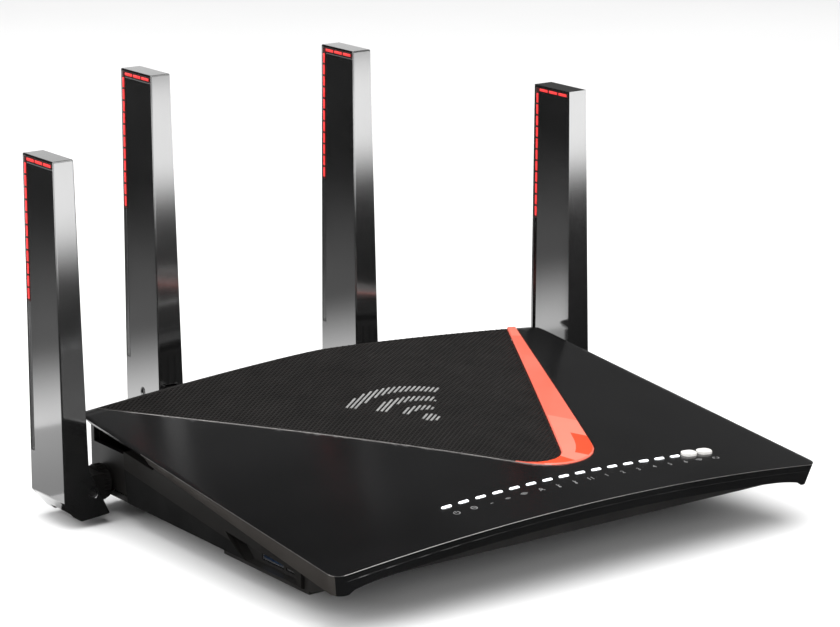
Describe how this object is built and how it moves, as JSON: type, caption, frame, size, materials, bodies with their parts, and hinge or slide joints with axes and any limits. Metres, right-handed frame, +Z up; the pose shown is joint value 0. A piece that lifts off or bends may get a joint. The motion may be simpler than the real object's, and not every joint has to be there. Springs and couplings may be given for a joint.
{
  "type": "wireless router",
  "caption": "Desktop wireless router: wedge-shaped case, mesh top with a coloured strip, a row of lights, rear and side sockets, and hinged blade antennas.",
  "frame": {"origin": "on the desk plane, under the middle of the whole object's bounding box with the antennas upright", "axes": "+X to the router's right seen from the front, +Y to the rear panel, +Z up"},
  "size_m": [0.2546, 0.2396, 0.1602],
  "materials": {
    "gloss_black": "high gloss",
    "antenna_black": "high gloss",
    "satin_black": "satin, fine moulded grain",
    "mesh_black": "satin powder coat",
    "coral": "high gloss",
    "white_light": "lit lens",
    "red_light": "lit lens",
    "rubber": "matt",
    "steel": "brushed",
    "brass": "plain",
    "aluminium": "satin",
    "board": "solder mask"
  },
  "bodies": {
    "case": {"top_cover": "gloss_black", "mesh_grille": "mesh_black", "accent_trim": "coral", "light_guide": "white_light", "lower_housing": "satin_black", "rear_panel": "satin_black", "lan_jack_block": "satin_black", "wan_jack": "satin_black", "sfp_cage": "steel", "dc_inlet": "satin_black", "usb_port_1": "steel", "usb_port_2": "steel", "main_board": "board", "heat_sink": "aluminium", "fan_frame": "satin_black", "radio_shield_left": "steel", "radio_shield_right": "steel", "rubber_foot_1": "rubber", "case_screw_1": "steel", "rubber_foot_2": "rubber", "case_screw_2": "steel", "rubber_foot_3": "rubber", "case_screw_3": "steel", "rubber_foot_4": "rubber", "case_screw_4": "steel", "left_antenna_jack": "brass", "right_antenna_jack": "brass", "rear_left_antenna_jack": "brass", "rear_right_antenna_jack": "brass"},
    "left_antenna_base": {"left_antenna_swivel": "satin_black", "left_antenna_tilt_pin": "steel"},
    "left_antenna": {"left_antenna_blade": "antenna_black", "left_antenna_lid": "antenna_black", "left_antenna_radiator": "board", "left_antenna_light_strip": "red_light"},
    "right_antenna_base": {"right_antenna_swivel": "satin_black", "right_antenna_tilt_pin": "steel"},
    "right_antenna": {"right_antenna_blade": "antenna_black", "right_antenna_lid": "antenna_black", "right_antenna_radiator": "board", "right_antenna_light_strip": "red_light"},
    "rear_left_antenna_base": {"rear_left_antenna_swivel": "satin_black", "rear_left_antenna_tilt_pin": "steel"},
    "rear_left_antenna": {"rear_left_antenna_blade": "antenna_black", "rear_left_antenna_lid": "antenna_black", "rear_left_antenna_radiator": "board", "rear_left_antenna_light_strip": "red_light"},
    "rear_right_antenna_base": {"rear_right_antenna_swivel": "satin_black", "rear_right_antenna_tilt_pin": "steel"},
    "rear_right_antenna": {"rear_right_antenna_blade": "antenna_black", "rear_right_antenna_lid": "antenna_black", "rear_right_antenna_radiator": "board", "rear_right_antenna_light_strip": "red_light"},
    "fan": {"fan_rotor": "satin_black"},
    "wifi_key": {"wifi_button": "white_light"},
    "wps_key": {"wps_button": "white_light"},
    "power_key": {"power_button": "gloss_black"},
    "reset_key": {"reset_button": "satin_black"},
    "led_slider": {"led_switch": "satin_black"}
  },
  "joints": [
    {"name": "left_antenna_swivel", "type": "hinge", "parent": "case", "child": "left_antenna_base", "pos_m": [-0.1022, 0.05563, 0.013], "axis": [1, 0, 0], "range_deg": [-15, 15]},
    {"name": "left_antenna_tilt", "type": "hinge", "parent": "left_antenna_base", "child": "left_antenna", "pos_m": [-0.1147, 0.05563, 0.013], "axis": [0, -1, 0], "range_deg": [0, 90]},
    {"name": "right_antenna_swivel", "type": "hinge", "parent": "case", "child": "right_antenna_base", "pos_m": [0.0998, 0.05563, 0.013], "axis": [1, 0, 0], "range_deg": [-15, 15]},
    {"name": "right_antenna_tilt", "type": "hinge", "parent": "right_antenna_base", "child": "right_antenna", "pos_m": [0.1123, 0.05563, 0.013], "axis": [0, 1, 0], "range_deg": [0, 90]},
    {"name": "rear_left_antenna_swivel", "type": "hinge", "parent": "case", "child": "rear_left_antenna_base", "pos_m": [-0.04835, 0.06543, 0.0285], "axis": [0, 1, 0], "range_deg": [-90, 20]},
    {"name": "rear_left_antenna_tilt", "type": "hinge", "parent": "rear_left_antenna_base", "child": "rear_left_antenna", "pos_m": [-0.04835, 0.10663, 0.0285], "axis": [-1, 0, 0], "range_deg": [0, 90]},
    {"name": "rear_right_antenna_swivel", "type": "hinge", "parent": "case", "child": "rear_right_antenna_base", "pos_m": [0.04845, 0.06543, 0.0285], "axis": [0, 1, 0], "range_deg": [-20, 90]},
    {"name": "rear_right_antenna_tilt", "type": "hinge", "parent": "rear_right_antenna_base", "child": "rear_right_antenna", "pos_m": [0.04845, 0.10663, 0.0285], "axis": [-1, 0, 0], "range_deg": [0, 90]},
    {"name": "fan_spin", "type": "hinge", "parent": "case", "child": "fan", "pos_m": [0.0038, -0.01057, 0.023], "axis": [0, 0, 1], "continuous": true},
    {"name": "wifi_key_press", "type": "slide", "parent": "case", "child": "wifi_key", "axis": [0, 0, -1], "range_m": [0, 0.0006], "stiffness_N_per_m": 300},
    {"name": "wps_key_press", "type": "slide", "parent": "case", "child": "wps_key", "axis": [0, 0, -1], "range_m": [0, 0.0006], "stiffness_N_per_m": 300},
    {"name": "power_key_press", "type": "slide", "parent": "case", "child": "power_key", "axis": [0, -1, 0], "range_m": [0, 0.0014], "stiffness_N_per_m": 400},
    {"name": "reset_key_press", "type": "slide", "parent": "case", "child": "reset_key", "axis": [0, -1, 0], "range_m": [0, 0.0008], "stiffness_N_per_m": 300},
    {"name": "led_slide", "type": "slide", "parent": "case", "child": "led_slider", "axis": [0, 0, -1], "range_m": [0, 0.0036]}
  ]
}
